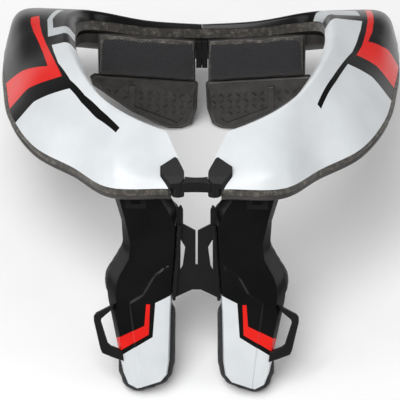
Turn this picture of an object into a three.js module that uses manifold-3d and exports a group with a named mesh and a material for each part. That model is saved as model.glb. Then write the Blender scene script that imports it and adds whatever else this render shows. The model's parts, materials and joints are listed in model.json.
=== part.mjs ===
// Motocross neck brace: a two-piece collar on a rear link, with two back legs and front chest pads.
// Millimetres. The brace stands on its two leg tips and its two chest pads, +Z up, wearer facing +Y.
import * as THREE from 'three';
import { mergeVertices } from 'three/addons/utils/BufferGeometryUtils.js';
import Module from 'manifold-3d';

const wasm = await Module();
wasm.setup();

const degree = Math.PI / 180;

// Clearances
const seatGap = 0.3;
const foamGap = 0.5;
const runGap = 0.6;

// Collar plan and heights, measured from the wearer's neck line and the rear hem
const neckHalfWidth = 97;
const neckFrontReach = 102;
const neckRearReach = 101.5;
const collarHalfWidth = 150;
const collarFrontReach = 150;
const collarRearReach = 129;
const ridgeRise = 68;
const hemRise = 32;

// Collar section
const shellWall = 2.2;
const ridgeRounding = 4;
const kneeRounding = 13;
const lipInset = 6;
const lipDrop = 8;
const foamInset = 0.8;
const foamHemBand = 5;
const foamNeckHeight = 14;
const baseHemBand = 3.2;
const baseNeckHeight = 9;
const slotHeight = 3;
const sideBulge = 3.5;
const ringsPerStation = 3;
const rearStations = 2.4;

// Wing ends at the rear link
const wingEndFront = 60;
const wingEndInner = 21.8;
const wingEndInnerBack = 99.5;
const wingEndMiddle = 10.4;
const wingEndMiddleBack = 117.5;
const wingEndTuck = 8.9;
const wingEndTuckBack = 121.5;
const wingEndHem = 18.6;
const wingEndHemBack = 127.5;

// Rear link and its two upright hinge posts
const hingeSpacing = 24.4;
const hingeBack = 126;
const postRadius = 4.2;
const postBottom = -6;
const pawThickness = 3;
const pawWidth = 12;
const pawLength = 12.6;
const barDepth = 4.8;
const barTop = 8.4;
const barBottom = -2.4;
const barSlope = 4.6;
const barWaist = 1.1;
const barSteps = 4;

// Back legs, in a plane that leans out behind the wearer
const legLean = 10;
const legBack = 112;
const legTop = -10;
const legReach = 62;
const legLength = 140;
const legShellDepth = 6;
const legPadDepth = 10;
const legPadRim = 2.8;
const legPadRounding = 4;
const legBevel = 8;

// Size lock frame near the top of each leg
const lockOut = 41.4;
const lockDown = 6.9;
const lockWidth = 14.6;
const lockHeight = 7.2;
const lockSlotWidth = 6.6;
const lockSlotHeight = 2.8;
const lockSlotDown = -1.1;
const lockThickness = 1.2;

// Strap loop on the outer side of each leg
const loopReach = 14;
const loopDrop = 40;
const loopTopDown = 78;
const loopThickness = 4.8;
const loopFace = 1.4;
const loopChamfer = 0.6;
const loopRoot = 56.2;

// Slotted web between the legs
const webTop = 23;
const webBottom = 76;
const webThickness = 3;
const webDepth = 9;
const webRibHeight = 6.5;
const webRibWidth = 2;
const webSlit = 1.5;
const webSlitLength = 28.6;
const webDip = 4.6;
const webFoot = 1.5;
const webArch = 7;
const webArchWidth = 6;
const webSteps = 6;
const webLegGap = 0.8;
const tabHeight = 13;
const tabWidth = 3.2;

// Front pads: each half has a plate, a fabric pad over it and a rubber chest pad below
const frontYaw = 10;
const frontRoll = 7;
const frontLean = 2;
const frontReach = 97.5;
const frontHeight = 38;
const plateThickness = 3;
const plateTop = 5;
const plateDrop = 58;
const fabricPadWidth = 75.5;
const fabricPadHeight = 33.5;
const fabricPadDepth = 8;
const fabricPadRounding = 2.5;
const fabricPadTop = 3;
const frontPadInner = 4.9;
const middleGap = 0.6;
const chestLean = 13;
const chestPadTop = 38.5;
const chestPadWidth = 84;
const chestPadHeight = 41;
const chestPadDepth = 9;
const chestPadInset = 2;
const chestChamfer = 1;
const chestLip = 1.6;
const chestRise = 2.6;
const chestRoot = 1;
const chestRibHeight = 1.2;
const chestRibChamfer = 0.4;
const underCollarRoom = 30;

// Front closure
const closureWidth = 4.3;
const closureHeight = 22;
const closureDepth = 6.5;
const closureHigh = 34;
const tongueLength = 3.8;
const tongueHeight = 4.4;
const tongueDepth = 3;

// Small flats where the brace stands, and the furthest it can tip forward to stand
const footFlat = 0.8;
const mostTip = 60;

// How far cutting shapes run past the brace
const cutReach = 200;

// Stations round one half of the collar, from the rear link to the front split.
// neckX, hemX are shares of the half widths, neckY, hemY of the reach to the front or the rear,
// ridgeZ and hemZ of the two rises. kneeOut and kneeDrop place the outer crease between ridge and hem.
// lipIn, lipDown, foamNeck, slot, baseNeck and bulge are shares of the section sizes above.
const stations = [
  { neckX: 0.08, neckY: -1.0, ridgeZ: 0.45, hemX: 0.05, hemY: -1.0, hemZ: 0, kneeOut: 0.9, kneeDrop: 0.85,
    lipIn: 1, lipDown: 0.85, foamNeck: 1, slot: 0.1, baseNeck: 0.4, bulge: 0 },
  { neckX: 0.25, neckY: -0.975, ridgeZ: 0.485, hemX: 0.147, hemY: -1.0, hemZ: 0, kneeOut: 0.9, kneeDrop: 0.85,
    lipIn: 1, lipDown: 0.85, foamNeck: 1, slot: 0.1, baseNeck: 0.4, bulge: 0 },
  { neckX: 0.495, neckY: -0.885, ridgeZ: 0.59, hemX: 0.392, hemY: -0.985, hemZ: 0, kneeOut: 0.84, kneeDrop: 0.675,
    lipIn: 1, lipDown: 0.85, foamNeck: 1, slot: 0.1, baseNeck: 0.4, bulge: 0 },
  { neckX: 0.70, neckY: -0.74, ridgeZ: 0.715, hemX: 0.566, hemY: -0.76, hemZ: 0.09, kneeOut: 0.7, kneeDrop: 0.63,
    lipIn: 1, lipDown: 0.85, foamNeck: 1, slot: 0.1, baseNeck: 0.4, bulge: 0 },
  { neckX: 0.845, neckY: -0.49, ridgeZ: 0.84, hemX: 0.757, hemY: -0.573, hemZ: 0.28, kneeOut: 0.7, kneeDrop: 0.58,
    lipIn: 1, lipDown: 0.85, foamNeck: 1, slot: 0.1, baseNeck: 0.4, bulge: 0.2 },
  { neckX: 0.94, neckY: -0.2, ridgeZ: 0.925, hemX: 0.884, hemY: -0.285, hemZ: 0.56, kneeOut: 0.66, kneeDrop: 0.556,
    lipIn: 1, lipDown: 0.85, foamNeck: 1, slot: 0.1, baseNeck: 0.4, bulge: 0.9 },
  { neckX: 0.99, neckY: 0.05, ridgeZ: 0.98, hemX: 0.945, hemY: 0.067, hemZ: 0.78, kneeOut: 0.69, kneeDrop: 0.52,
    lipIn: 1, lipDown: 0.85, foamNeck: 1, slot: 0.1, baseNeck: 0.4, bulge: 1 },
  { neckX: 1.0, neckY: 0.295, ridgeZ: 1.0, hemX: 0.984, hemY: 0.3, hemZ: 0.9, kneeOut: 0.765, kneeDrop: 0.33,
    lipIn: 1, lipDown: 0.85, foamNeck: 0.9, slot: 0.3, baseNeck: 0.5, bulge: 0.5 },
  { neckX: 0.985, neckY: 0.54, ridgeZ: 0.993, hemX: 1.0, hemY: 0.52, hemZ: 1.0, kneeOut: 0.85, kneeDrop: 0.19,
    lipIn: 0.7, lipDown: 1, foamNeck: 0.6, slot: 0.8, baseNeck: 0.9, bulge: 0.1 },
  { neckX: 0.918, neckY: 0.745, ridgeZ: 0.94, hemX: 0.984, hemY: 0.76, hemZ: 0.97, kneeOut: 0.85, kneeDrop: 0.24,
    lipIn: 0.3, lipDown: 1, foamNeck: 0.55, slot: 1, baseNeck: 1, bulge: 0 },
  { neckX: 0.763, neckY: 0.868, ridgeZ: 0.86, hemX: 0.78, hemY: 0.937, hemZ: 0.75, kneeOut: 0.73, kneeDrop: 0.33,
    lipIn: 0.25, lipDown: 0.9, foamNeck: 0.55, slot: 1, baseNeck: 1, bulge: 0 },
  { neckX: 0.412, neckY: 0.941, ridgeZ: 0.732, hemX: 0.367, hemY: 0.995, hemZ: 0.5, kneeOut: 0.66, kneeDrop: 0.36,
    lipIn: 0.25, lipDown: 0.62, foamNeck: 0.55, slot: 1, baseNeck: 0.95, bulge: 0 },
  { neckX: -0.04, neckY: 1.0, ridgeZ: 0.67, hemX: -0.03, hemY: 1.0, hemZ: 0.31, kneeOut: 0.646, kneeDrop: 0.5,
    lipIn: 0.25, lipDown: 0.45, foamNeck: 0.55, slot: 1, baseNeck: 0.9, bulge: 0 },
];

// Outline of a paw: out and forward from its hinge as shares of pawWidth and pawLength.
const pawOutline = [
  { out: 0.05, forward: 0.62 }, { out: 0.19, forward: 0.68 }, { out: 1, forward: 0.3 },
  { out: 1, forward: 0.14 }, { out: 0.42, forward: -0.36 }, { out: 0, forward: -0.33 },
  { out: -0.35, forward: 0 }, { out: -0.25, forward: 0.24 },
];

// Outline of one leg: out is a share of legReach, down of legLength. bevel is the share of legBevel
// that the flat face stands in from the edge, rim the share of legPadRim that the pad stands out.
const legOutline = [
  { out: 0.945, down: -0.12, bevel: 0.4, rim: 0 },
  { out: 0.9, down: 0.035, bevel: 0.4, rim: 0 },
  { out: 0.83, down: 0.14, bevel: 0.35, rim: 0 },
  { out: 0.815, down: 0.25, bevel: 0.65, rim: 0.2 },
  { out: 0.86, down: 0.31, bevel: 0.95, rim: 0.6 },
  { out: 0.965, down: 0.4, bevel: 0.9, rim: 1.1 },
  { out: 0.998, down: 0.455, bevel: 0.85, rim: 1 },
  { out: 0.985, down: 0.53, bevel: 0.7, rim: 0.3 },
  { out: 0.865, down: 0.81, bevel: 0.25, rim: 0.4 },
  { out: 0.822, down: 0.91, bevel: 0.15, rim: 1.4 },
  { out: 0.765, down: 0.975, bevel: 0.15, rim: 1.5 },
  { out: 0.66, down: 1.0, bevel: 0.15, rim: 1.5 },
  { out: 0.39, down: 0.96, bevel: 0.15, rim: 1.5 },
  { out: 0.325, down: 0.925, bevel: 0.15, rim: 1.5 },
  { out: 0.3, down: 0.855, bevel: 0.12, rim: 1.5 },
  { out: 0.286, down: 0.605, bevel: 0.1, rim: 1.5 },
  { out: 0.28, down: 0.555, bevel: 0.1, rim: 0 },
  { out: 0.24, down: 0.335, bevel: 0.1, rim: 0 },
  { out: 0.215, down: 0.165, bevel: 0.15, rim: 0 },
  { out: 0.22, down: 0.075, bevel: 0.75, rim: 0 },
  { out: 0.3, down: 0.015, bevel: 0.8, rim: 0 },
  { out: 0.42, down: -0.12, bevel: 0.8, rim: 0 },
];

// Strap loop: a bent band, out and down as shares of loopReach and loopDrop from its upper root.
const loopOutline = [
  { out: 0, down: 0 }, { out: 0.92, down: 0.17 }, { out: 1.03, down: 0.22 }, { out: 1.03, down: 0.3 },
  { out: 0.72, down: 0.8 }, { out: 0.62, down: 0.88 }, { out: 0.1, down: 0.955 }, { out: -0.44, down: 1.02 },
  { out: -0.38, down: 0.84 }, { out: 0.2, down: 0.76 }, { out: 0.36, down: 0.71 }, { out: 0.69, down: 0.32 },
  { out: 0.65, down: 0.26 }, { out: 0.2, down: 0.12 },
];

// One side slot of the web, out as a share of the web's half width there, down of the web's height.
const webSlotOutline = [
  { out: 0.83, down: 0.2 }, { out: 0.58, down: 0.3 }, { out: 0.66, down: 0.55 }, { out: 0.76, down: 0.61 },
];

// The tab on each upper corner of the web: inward and up as shares of tabWidth and tabHeight.
const tabOutline = [
  { inward: 0, up: -0.08 }, { inward: 0, up: 0.88 }, { inward: 0.3, up: 1 },
  { inward: 0.6, up: 1 }, { inward: 1, up: 0.77 }, { inward: 1, up: -0.08 },
];

// Outline of a chest pad: across and down as shares of its width and height.
const chestOutline = [
  { across: 0.0, down: 0.04 }, { across: 0.03, down: 0.0 }, { across: 0.96, down: 0.0 },
  { across: 1.0, down: 0.07 }, { across: 0.98, down: 0.22 }, { across: 0.62, down: 0.76 },
  { across: 0.36, down: 1.02 }, { across: 0.25, down: 1.1 }, { across: 0.13, down: 1.08 },
  { across: 0.04, down: 0.95 }, { across: 0.0, down: 0.6 },
];

// The raised face of a chest pad, point for point inside its outline. Its long upper side slopes widely.
const chestFace = [
  { across: 0.05, down: 0.24 }, { across: 0.08, down: 0.2 }, { across: 0.86, down: 0.2 },
  { across: 0.885, down: 0.225 }, { across: 0.875, down: 0.285 }, { across: 0.595, down: 0.7 },
  { across: 0.35, down: 0.935 }, { across: 0.25, down: 1.0 }, { across: 0.155, down: 0.98 },
  { across: 0.085, down: 0.88 }, { across: 0.05, down: 0.575 },
];

// The ribs on that face, the upright one and the slanted one, in the same shares.
const chestRibs = [
  [
    { across: 0.59, down: 0.12 }, { across: 0.645, down: 0.12 },
    { across: 0.645, down: 0.6 }, { across: 0.59, down: 0.6 },
  ],
  [
    { across: 0.645, down: 0.54 }, { across: 0.645, down: 0.62 },
    { across: 0.2, down: 0.97 }, { across: 0.18, down: 0.9 },
  ],
];

const materials = {
  shell: { color: 0xe6e8e9, roughness: 0.22, metalness: 0 },
  foam: { color: 0x2b2926, roughness: 0.95, metalness: 0 },
  base: { color: 0x242322, roughness: 0.6, metalness: 0 },
  link: { color: 0x1b1b1b, roughness: 0.45, metalness: 0 },
  legShell: { color: 0xdfe2e3, roughness: 0.2, metalness: 0 },
  rubber: { color: 0x2e2c2a, roughness: 0.75, metalness: 0 },
  fabric: { color: 0x2a2b2e, roughness: 0.9, metalness: 0 },
};

// Solids from closed meshes, and back
function toSolid(geometry) {
  const bare = geometry.index ? geometry.clone() : geometry;
  bare.deleteAttribute('normal');
  bare.deleteAttribute('uv');
  const merged = mergeVertices(bare, 1e-5);
  return new wasm.Manifold(new wasm.Mesh({
    numProp: 3,
    vertProperties: Float32Array.from(merged.attributes.position.array),
    triVerts: Uint32Array.from(merged.index.array),
  }));
}

function toGeometry(solid) {
  const mesh = solid.getMesh();
  const geometry = new THREE.BufferGeometry();
  geometry.setAttribute('position', new THREE.Float32BufferAttribute(mesh.vertProperties, 3));
  geometry.setIndex(Array.from(mesh.triVerts));
  return geometry;
}

// The triangles of a flat ring, all turning the way the ring does.
function capFaces(flat) {
  const turn = Math.sign(THREE.ShapeUtils.area(flat));
  return THREE.ShapeUtils.triangulateShape(flat, []).map(([a, b, c]) => {
    const own = Math.sign(THREE.ShapeUtils.area([flat[a], flat[b], flat[c]]));
    return own === turn ? [a, b, c] : [a, c, b];
  });
}

// A closed skin through rings of equal point count; flat gives each end ring in its own plane.
function loft(rings, flat) {
  const count = rings[0].length;
  const positions = rings.flat().flatMap((point) => [point.x, point.y, point.z]);
  const faces = [];
  for (let ring = 0; ring + 1 < rings.length; ring += 1) {
    for (let i = 0; i < count; i += 1) {
      const next = (i + 1) % count;
      const a = ring * count + i;
      const b = ring * count + next;
      faces.push(a, b, b + count, a, b + count, a + count);
    }
  }
  const last = (rings.length - 1) * count;
  for (const [a, b, c] of capFaces(flat[0])) {
    faces.push(c, b, a);
  }
  for (const [a, b, c] of capFaces(flat[1])) {
    faces.push(last + a, last + b, last + c);
  }
  const geometry = new THREE.BufferGeometry();
  geometry.setAttribute('position', new THREE.Float32BufferAttribute(positions, 3));
  geometry.setIndex(faces);
  return facingOut(geometry);
}

function signedVolume(geometry) {
  const place = geometry.attributes.position;
  const index = geometry.index.array;
  const corner = [new THREE.Vector3(), new THREE.Vector3(), new THREE.Vector3()];
  let sum = 0;
  for (let i = 0; i < index.length; i += 3) {
    corner.forEach((point, k) => point.fromBufferAttribute(place, index[i + k]));
    sum += corner[0].dot(corner[1].clone().cross(corner[2]));
  }
  return sum / 6;
}

function facingOut(geometry) {
  if (signedVolume(geometry) < 0) {
    const index = geometry.index.array;
    for (let i = 0; i < index.length; i += 3) {
      [index[i + 1], index[i + 2]] = [index[i + 2], index[i + 1]];
    }
  }
  return geometry;
}

function mirrored(geometry) {
  const copy = geometry.clone();
  copy.scale(-1, 1, 1);
  return facingOut(copy);
}

// An outline pushed up by depth, as a solid, with an optional chamfer at both ends.
function slab(points, depth, chamfer = 0) {
  const shape = new THREE.Shape(points.map(([x, y]) => new THREE.Vector2(x, y)));
  const geometry = new THREE.ExtrudeGeometry(shape, {
    depth: depth - 2 * chamfer,
    bevelEnabled: chamfer > 0,
    bevelThickness: chamfer,
    bevelSize: chamfer,
    bevelOffset: -chamfer,
    bevelSegments: 1,
  });
  geometry.translate(0, 0, chamfer);
  return geometry;
}

function box(sizeX, sizeY, sizeZ, x, y, z) {
  const geometry = new THREE.BoxGeometry(sizeX, sizeY, sizeZ);
  geometry.translate(x, y, z);
  return geometry;
}

function upright(radius, bottom, top, x, y) {
  const geometry = new THREE.CylinderGeometry(radius, radius, top - bottom, 28);
  geometry.rotateX(90 * degree);
  geometry.translate(x, y, (top + bottom) / 2);
  return geometry;
}

// Moves each point of a closed outline along its outward normal by the distance given for it.
function grown(points, distance) {
  const turn = points.reduce((sum, [x, y], i) => {
    const [nextX, nextY] = points[(i + 1) % points.length];
    return sum + x * nextY - nextX * y;
  }, 0) > 0 ? 1 : -1;
  return points.map(([x, y], i) => {
    const [fromX, fromY] = points[(i + points.length - 1) % points.length];
    const [toX, toY] = points[(i + 1) % points.length];
    const before = new THREE.Vector2(y - fromY, fromX - x).normalize();
    const after = new THREE.Vector2(toY - y, x - toX).normalize();
    const miter = before.clone().add(after).divideScalar(1 + Math.max(before.dot(after), -0.5));
    const push = turn * distance(i);
    return [x + miter.x * push, y + miter.y * push];
  });
}

// Collar

function stationValues() {
  return stations.map((row) => {
    const reachIn = row.neckY > 0 ? neckFrontReach : neckRearReach;
    const reachOut = row.hemY > 0 ? collarFrontReach : collarRearReach;
    return {
      ...row,
      ridge: new THREE.Vector3(row.neckX * neckHalfWidth, row.neckY * reachIn, row.ridgeZ * ridgeRise),
      hem: new THREE.Vector3(row.hemX * collarHalfWidth, row.hemY * reachOut, row.hemZ * hemRise),
    };
  });
}

function through(points) {
  return new THREE.CatmullRomCurve3(points, false, 'catmullrom', 0.5);
}

const rows = stationValues();
const ridgeLine = through(rows.map((row) => row.ridge));
const hemLine = through(rows.map((row) => row.hem));
const kneeLine = through(rows.map((row) => new THREE.Vector3(row.kneeOut, row.kneeDrop, row.bulge)));
const lipLine = through(rows.map((row) => new THREE.Vector3(row.lipIn, row.lipDown, row.slot)));
const layerLine = through(rows.map((row) => new THREE.Vector3(row.foamNeck, row.baseNeck, 0)));

// One corner of a section, rounded by three points of a curve that starts and ends reach away.
function rounded(before, corner, after, reach) {
  const start = corner.clone().lerp(before, Math.min(reach / corner.distanceTo(before), 0.45));
  const end = corner.clone().lerp(after, Math.min(reach / corner.distanceTo(after), 0.45));
  const curve = new THREE.QuadraticBezierCurve(start, corner, end);
  return [start, curve.getPoint(0.5), end];
}

// The section at share t of the way round: x runs outward from the ridge, y is the height.
function sectionAt(t) {
  const ridge = ridgeLine.getPoint(t);
  const hem = hemLine.getPoint(t);
  const knee = kneeLine.getPoint(t);
  const lip = lipLine.getPoint(t);
  const layer = layerLine.getPoint(t);
  const outward = new THREE.Vector3(hem.x - ridge.x, hem.y - ridge.y, 0);
  const width = outward.length();
  outward.normalize();
  const lipEnd = new THREE.Vector2(-lipInset * lip.x, ridge.z - lipDrop * lip.y);
  const top = new THREE.Vector2(0, ridge.z);
  const crease = new THREE.Vector2(width * knee.x, ridge.z - (ridge.z - hem.z) * knee.y);
  const edge = new THREE.Vector2(width, hem.z);
  const outer = [
    lipEnd,
    ...rounded(lipEnd, top, crease, ridgeRounding),
    ...rounded(top, crease, edge, kneeRounding),
    edge,
  ];
  return {
    ridge,
    outward,
    outer,
    lipEnd,
    edge,
    bulge: knee.z * sideBulge,
    foamNeck: layer.x * foamNeckHeight,
    baseNeck: layer.y * baseNeckHeight,
    slot: Math.max(lip.z * slotHeight, seatGap),
  };
}

// The section's path moved along its outward normals; a positive distance goes out of the shell.
function offsetPath(path, distance) {
  const normals = path.slice(1).map((point, i) => {
    const run = point.clone().sub(path[i]).normalize();
    return new THREE.Vector2(-run.y, run.x);
  });
  return path.map((point, i) => {
    const before = normals[Math.max(i - 1, 0)];
    const after = normals[Math.min(i, normals.length - 1)];
    const miter = before.clone().add(after).divideScalar(1 + before.dot(after));
    return point.clone().addScaledVector(miter, distance);
  });
}

// Runs both ends of a path on, or back, along their own direction until they are level with the shell's
// own ends, lowered by the drop given.
function levelled(path, section, drop) {
  const slide = (end, inside, height) => {
    const run = inside.clone().sub(end);
    return end.clone().addScaledVector(run, (height - end.y) / run.y);
  };
  const count = path.length;
  const first = slide(path[0], path[1], section.lipEnd.y - drop);
  const last = slide(path[count - 1], path[count - 2], section.edge.y - drop);
  return [first, ...path.slice(1, count - 1), last];
}

// The path inside the shell at a distance from its outer face, with its ends a drop below the shell's.
// It cuts the ridge's rounding short, so that it stays simple where the lip is low.
function insidePath(section, distance, drop) {
  const [lipEnd, , ridgeMiddle, , ...rest] = section.outer;
  return levelled(offsetPath([lipEnd, ridgeMiddle, ...rest], -distance), section, drop);
}

function shellSection(section) {
  return [...section.outer, ...insidePath(section, shellWall, 0).reverse()];
}

function coverSection(section) {
  const near = offsetPath(section.outer, seatGap);
  const far = offsetPath(section.outer, seatGap + pawThickness);
  return [...near, ...far.reverse()];
}

function underCoverSection(section) {
  const far = offsetPath(section.outer, seatGap + pawThickness);
  return [...far, new THREE.Vector2(far.at(-1).x, -cutReach), new THREE.Vector2(far[0].x, -cutReach)];
}

function foamEnds(section) {
  const neck = section.lipEnd.x + foamInset;
  const hem = section.edge.x - foamInset;
  return {
    neckTop: new THREE.Vector2(neck, section.lipEnd.y - foamGap),
    neckBottom: new THREE.Vector2(neck, section.lipEnd.y - section.foamNeck),
    hemTop: new THREE.Vector2(hem, section.edge.y - foamGap),
    hemMiddle: new THREE.Vector2(hem + section.bulge, section.edge.y - foamHemBand / 2),
    hemBottom: new THREE.Vector2(hem + section.bulge / 2, section.edge.y - foamHemBand),
  };
}

function foamSection(section) {
  const ends = foamEnds(section);
  const inner = insidePath(section, shellWall + foamGap, foamGap);
  return [
    ends.hemTop,
    ...inner.reverse(),
    ends.neckTop,
    ends.neckBottom,
    ends.hemBottom,
    ends.hemMiddle,
  ];
}

function baseSection(section) {
  const ends = foamEnds(section);
  const hemTop = ends.hemBottom.clone().add(new THREE.Vector2(0, -seatGap));
  const neckTop = ends.neckBottom.clone().add(new THREE.Vector2(0, -section.slot));
  const hemBottom = hemTop.clone().add(new THREE.Vector2(-foamInset, -baseHemBand));
  const neckBottom = neckTop.clone().add(new THREE.Vector2(0, -section.baseNeck));
  return [neckTop, hemTop, hemBottom, neckBottom];
}

// Everything from just under the tray upward: what the legs stop short of.
function aboveBaseSection(section) {
  const [, hemTop, hemBottom, neckBottom] = baseSection(section);
  const low = new THREE.Vector2(0, -seatGap);
  const high = section.ridge.z + cutReach;
  return [
    hemBottom.clone().add(low),
    neckBottom.clone().add(low),
    new THREE.Vector2(neckBottom.x, high),
    new THREE.Vector2(hemTop.x, high),
  ];
}

function collarLoft(sectionOf, from = 0, to = 1) {
  const steps = Math.round((to - from) * (stations.length - 1) * ringsPerStation);
  const rings = [];
  const flats = [];
  for (let i = 0; i <= steps; i += 1) {
    const section = sectionAt(from + ((to - from) * i) / steps);
    const flat = sectionOf(section);
    flats.push(flat);
    rings.push(flat.map((point) => new THREE.Vector3(
      section.ridge.x + section.outward.x * point.x,
      section.ridge.y + section.outward.y * point.x,
      point.y,
    )));
  }
  return loft(rings, [flats[0], flats.at(-1)]);
}

// The slanted end of each wing and the room round its hinge post, cut from every collar layer.
function wingEndCut(hinge) {
  const outline = [
    [-wingEndInner, -wingEndFront],
    [wingEndInner, -wingEndFront],
    [wingEndInner, -wingEndInnerBack],
    [wingEndMiddle, -wingEndMiddleBack],
    [wingEndTuck, -wingEndTuckBack],
    [wingEndHem, -wingEndHemBack],
    [wingEndHem, -cutReach],
    [-wingEndInner, -cutReach],
  ];
  const end = slab(outline, 2 * cutReach);
  end.translate(0, 0, -cutReach);
  const room = upright(postRadius + runGap, -cutReach, cutReach, hinge.x, hinge.y);
  return toSolid(end).add(toSolid(room));
}

const hinge = new THREE.Vector2(hingeSpacing / 2, -hingeBack);
const wingEnd = wingEndCut(hinge);

function collarLayer(sectionOf) {
  const beyondSplit = box(cutReach, cutReach, 2 * cutReach, (seatGap - cutReach) / 2, cutReach / 2, 0);
  return toSolid(collarLoft(sectionOf)).subtract(wingEnd).subtract(toSolid(beyondSplit));
}

// Rear link

const rearShare = rearStations / (stations.length - 1);

function linkPaw() {
  const prism = slab(pawOutline.map((row) => [
    hinge.x + row.out * pawWidth,
    hinge.y + row.forward * pawLength,
  ]), 2 * cutReach);
  prism.translate(0, 0, -cutReach);
  const plate = toSolid(collarLoft(coverSection, 0, rearShare)).intersect(toSolid(prism));
  const post = toSolid(upright(postRadius, postBottom, cutReach, hinge.x, hinge.y));
  const under = toSolid(collarLoft(underCoverSection, 0, rearShare));
  return plate.add(post.intersect(under));
}

function linkBar() {
  const rear = hinge.y - postRadius;
  const profile = [
    [rear, barBottom],
    [rear + barDepth, barBottom],
    [rear + barDepth, barTop],
    [rear, barTop - barSlope],
  ];
  const wedge = slab(profile, hingeSpacing);
  wedge.rotateX(90 * degree);
  wedge.rotateZ(90 * degree);
  wedge.translate(-hingeSpacing / 2, 0, 0);
  const outline = [];
  for (let i = -barSteps; i <= barSteps; i += 1) {
    const share = i / barSteps;
    outline.push([share * hinge.x, rear + barWaist * (1 - share * share)]);
  }
  for (let i = barSteps; i >= -barSteps; i -= 1) {
    const share = i / barSteps;
    outline.push([share * hinge.x, rear + barDepth - barWaist * (1 - share * share)]);
  }
  const waist = slab(outline, 2 * cutReach);
  waist.translate(0, 0, -cutReach);
  let bar = toSolid(wedge).intersect(toSolid(waist));
  for (const side of [-1, 1]) {
    const room = upright(postRadius + seatGap, -cutReach, cutReach, side * hinge.x, hinge.y);
    bar = bar.subtract(toSolid(room));
  }
  return bar;
}

// Legs: x across, y down the leg, z into the leg from its rear face

const legFrame = new THREE.Matrix4()
  .makeTranslation(0, -legBack, legTop)
  .multiply(new THREE.Matrix4().makeRotationX(-(90 + legLean) * degree));

function legEdge() {
  return legOutline.map((row) => [row.out * legReach, row.down * legLength]);
}

function legLevel(points, depth) {
  return points.map(([x, y]) => new THREE.Vector3(x, y, depth));
}

function legLoft(levels) {
  const flat = levels[0].map((point) => new THREE.Vector2(point.x, point.y));
  return loft(levels, [flat, levels.at(-1).map((point) => new THREE.Vector2(point.x, point.y))]);
}

function legShellBody(clear) {
  const edge = grown(legEdge(), () => clear);
  const face = grown(legEdge(), (i) => clear - legOutline[i].bevel * legBevel);
  return legLoft([legLevel(face, -clear), legLevel(edge, legShellDepth + clear)]);
}

function legPadBody() {
  const edge = grown(legEdge(), (i) => legOutline[i].rim * legPadRim);
  const back = grown(edge, () => -legPadRounding);
  const start = legShellDepth + seatGap;
  return legLoft([
    legLevel(edge, start),
    legLevel(edge, start + legPadDepth - legPadRounding),
    legLevel(back, start + legPadDepth),
  ]);
}

function lockBody() {
  const frame = slab([
    [lockOut - lockWidth / 2, lockDown - lockHeight / 2],
    [lockOut + lockWidth / 2, lockDown - lockHeight / 2],
    [lockOut + lockWidth / 2, lockDown + lockHeight / 2],
    [lockOut - lockWidth / 2, lockDown + lockHeight / 2],
  ], lockThickness);
  frame.translate(0, 0, -lockThickness - seatGap);
  const slot = box(lockSlotWidth, lockSlotHeight, cutReach, lockOut, lockDown + lockSlotDown, 0);
  return toSolid(frame).subtract(toSolid(slot));
}

function loopBody() {
  const outline = loopOutline.map((row) => [
    loopRoot + row.out * loopReach,
    loopTopDown + row.down * loopDrop,
  ]);
  const band = slab(outline, loopThickness, loopChamfer);
  band.translate(0, 0, -loopFace);
  return toSolid(band).subtract(toSolid(legShellBody(seatGap)));
}

// The inner edge of the leg at a place down it, which the web follows.
function legInnerAt(down) {
  const lowest = legOutline.findIndex((row) => row.down === 1);
  const inner = legOutline.slice(lowest).map((row) => [row.out * legReach, row.down * legLength]).reverse();
  for (let i = 1; i < inner.length; i += 1) {
    const [fromX, fromDown] = inner[i - 1];
    const [toX, toDown] = inner[i];
    if (down <= toDown && down >= fromDown) {
      return fromX + ((toX - fromX) * (down - fromDown)) / (toDown - fromDown);
    }
  }
  return inner[0][0];
}

function webBody() {
  const edgeAt = (down) => legInnerAt(down) - webLegGap;
  const height = webBottom - webTop;
  const right = [];
  for (let i = 0; i <= webSteps; i += 1) {
    const down = webTop + (height * i) / webSteps;
    right.push([edgeAt(down), down]);
  }
  const half = [
    [webSlit / 2, webTop + webDip],
    [edgeAt(webTop) - tabWidth, webTop],
    ...right,
    [edgeAt(webBottom) - webRibWidth, webBottom - webFoot],
    [webArchWidth / 2, webBottom - webArch],
  ];
  const plate = slab([...half, ...half.map(([x, y]) => [-x, y]).reverse()], webThickness);
  plate.translate(0, 0, webDepth - webThickness);
  const slit = box(webSlit, webSlitLength, cutReach, 0, webTop + webSlitLength / 2, 0);
  let web = toSolid(plate).subtract(toSolid(slit));
  for (const side of [-1, 1]) {
    const rib = slab([
      ...right,
      ...right.map(([x, y]) => [x - webRibWidth, y]).reverse(),
    ].map(([x, y]) => [side * x, y]), webRibHeight);
    rib.translate(0, 0, webDepth - webRibHeight);
    const tab = slab(tabOutline.map((row) => [
      side * (edgeAt(webTop) - row.inward * tabWidth),
      webTop - row.up * tabHeight,
    ]), webThickness);
    tab.translate(0, 0, webDepth - webThickness);
    const slot = slab(webSlotOutline.map((row) => {
      const down = webTop + row.down * height;
      return [side * row.out * edgeAt(down), down];
    }), 2 * webDepth);
    web = web.add(toSolid(rib)).add(toSolid(tab)).subtract(toSolid(slot));
  }
  return web;
}

// Front pads: x across from the middle, y away from the wearer, z up

// The pads' level edges climb outward by frontRoll while their inner edges stay upright.
const frontFrame = new THREE.Matrix4()
  .makeTranslation(0, frontReach, frontHeight)
  .multiply(new THREE.Matrix4().makeRotationZ(-frontYaw * degree))
  .multiply(new THREE.Matrix4().makeRotationX(frontLean * degree))
  .multiply(new THREE.Matrix4().makeShear(0, Math.tan(frontRoll * degree), 0, 0, 0, 0));

const chestFrame = frontFrame.clone()
  .multiply(new THREE.Matrix4().makeTranslation(0, 0, -chestPadTop))
  .multiply(new THREE.Matrix4().makeRotationX(chestLean * degree));

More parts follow.
